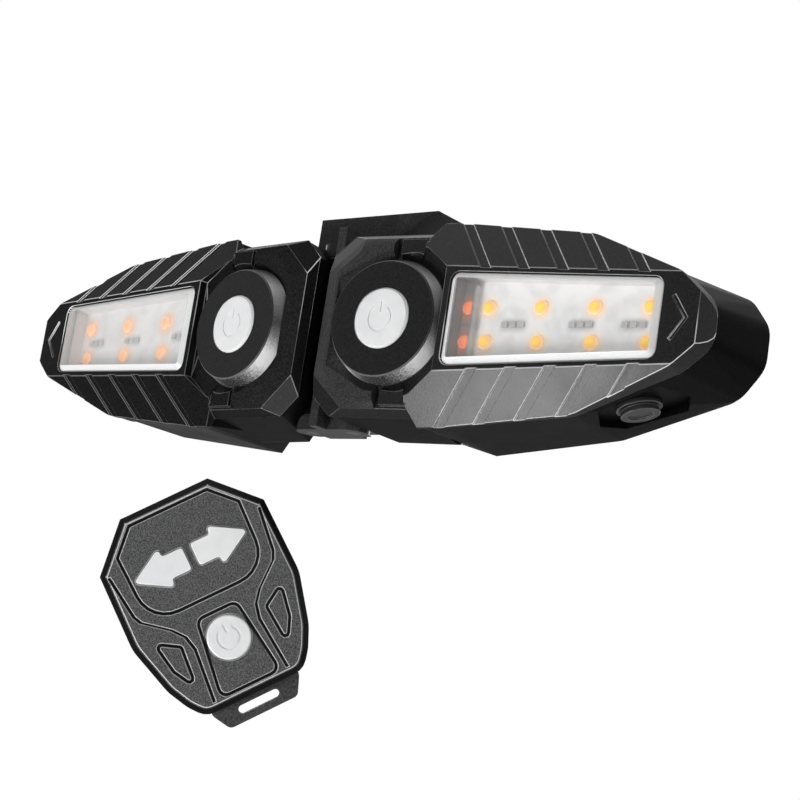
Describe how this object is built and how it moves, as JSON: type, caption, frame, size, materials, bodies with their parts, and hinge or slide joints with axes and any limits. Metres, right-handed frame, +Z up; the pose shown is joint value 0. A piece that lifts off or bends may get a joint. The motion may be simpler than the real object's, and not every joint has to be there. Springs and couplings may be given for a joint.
{
  "type": "bicycle turn signal light",
  "caption": "Folding rear turn signal light with hinged lamp wings on a seat post bracket, push buttons, plugged charging ports and a separate button remote.",
  "frame": {"origin": "on the seat post's axis, at mid height of the light", "axes": "+X to the right along the wings, seen from behind the bicycle facing the lamps, +Y from the lamps toward the post, +Z up along the post"},
  "size_m": [0.188, 0.0669, 0.1164],
  "materials": {
    "black_shell": "fine-grained matte black plastic",
    "dark_trim": "fine-grained dark grey plastic",
    "remote_grey": "grained dark grey plastic",
    "clear_lens": "clear polycarbonate with a bevelled rim",
    "white_plastic": "white lamp board and light box",
    "amber_lamp": "amber lamp packages",
    "red_lamp": "red lamp packages",
    "chip": "small dark chips",
    "button_white": "translucent white silicone",
    "circuit_board": "green solder mask",
    "steel": "plain steel",
    "cell": "wrapped cell",
    "rubber": "soft black rubber"
  },
  "bodies": {
    "bracket": {"centre_bracket": "dark_trim", "post_saddle": "black_shell", "saddle_pad": "rubber", "saddle_screws": "steel", "left_hinge_pin": "steel", "right_hinge_pin": "steel", "left_hinge_washers": "steel", "right_hinge_washers": "steel", "remote_front_case": "remote_grey", "remote_back_case": "black_shell", "remote_board": "circuit_board", "remote_switches": "steel", "remote_coin_cell": "cell", "remote_cell_clip": "steel", "remote_screws": "steel"},
    "left_wing": {"left_front_shell": "black_shell", "left_hinge_frame": "dark_trim", "left_rear_shell": "black_shell", "left_shell_seal": "rubber", "left_lens": "clear_lens", "left_lamp_tray": "white_plastic", "left_lamp_board": "white_plastic", "left_amber_leds": "amber_lamp", "left_red_leds": "red_lamp", "left_lamp_chips": "chip", "left_button_bezel": "black_shell", "left_button_switch": "steel", "left_control_board": "circuit_board", "left_battery": "cell", "left_usb_socket": "steel", "left_shell_screws": "steel"},
    "left_button": {"left_power_button": "button_white"},
    "left_plug": {"left_port_plug": "rubber"},
    "right_wing": {"right_front_shell": "black_shell", "right_hinge_frame": "dark_trim", "right_rear_shell": "black_shell", "right_shell_seal": "rubber", "right_lens": "clear_lens", "right_lamp_tray": "white_plastic", "right_lamp_board": "white_plastic", "right_amber_leds": "amber_lamp", "right_red_leds": "red_lamp", "right_lamp_chips": "chip", "right_button_bezel": "black_shell", "right_button_switch": "steel", "right_control_board": "circuit_board", "right_battery": "cell", "right_usb_socket": "steel", "right_shell_screws": "steel"},
    "right_button": {"right_power_button": "button_white"},
    "right_plug": {"right_port_plug": "rubber"},
    "left_turn_key": {"remote_left_key": "button_white"},
    "right_turn_key": {"remote_right_key": "button_white"},
    "remote_power": {"remote_power_key": "button_white"}
  },
  "joints": [
    {"name": "left_wing_fold", "type": "hinge", "parent": "bracket", "child": "left_wing", "pos_m": [-0.0057, -0.036, 0], "axis": [0, 0, -1], "range_deg": [-6, 30]},
    {"name": "left_button_press", "type": "slide", "parent": "left_wing", "child": "left_button", "axis": [0.1045, 0.9945, 0], "range_m": [0, 0.001], "stiffness_N_per_m": 400},
    {"name": "left_plug_pull", "type": "slide", "parent": "left_wing", "child": "left_plug", "axis": [-0.339, 0.0356, -0.9401], "range_m": [0, 0.006]},
    {"name": "right_wing_fold", "type": "hinge", "parent": "bracket", "child": "right_wing", "pos_m": [0.0057, -0.036, 0], "axis": [0, 0, 1], "range_deg": [-6, 30]},
    {"name": "right_button_press", "type": "slide", "parent": "right_wing", "child": "right_button", "axis": [-0.1045, 0.9945, 0], "range_m": [0, 0.001], "stiffness_N_per_m": 400},
    {"name": "right_plug_pull", "type": "slide", "parent": "right_wing", "child": "right_plug", "axis": [0.339, 0.0356, -0.9401], "range_m": [0, 0.006]},
    {"name": "left_turn_press", "type": "slide", "parent": "bracket", "child": "left_turn_key", "axis": [-0.6924, 0.717, 0.0802], "range_m": [0, 0.0006], "stiffness_N_per_m": 400},
    {"name": "right_turn_press", "type": "slide", "parent": "bracket", "child": "right_turn_key", "axis": [-0.6924, 0.717, 0.0802], "range_m": [0, 0.0006], "stiffness_N_per_m": 400},
    {"name": "remote_power_press", "type": "slide", "parent": "bracket", "child": "remote_power", "axis": [-0.6924, 0.717, 0.0802], "range_m": [0, 0.0006], "stiffness_N_per_m": 400}
  ]
}
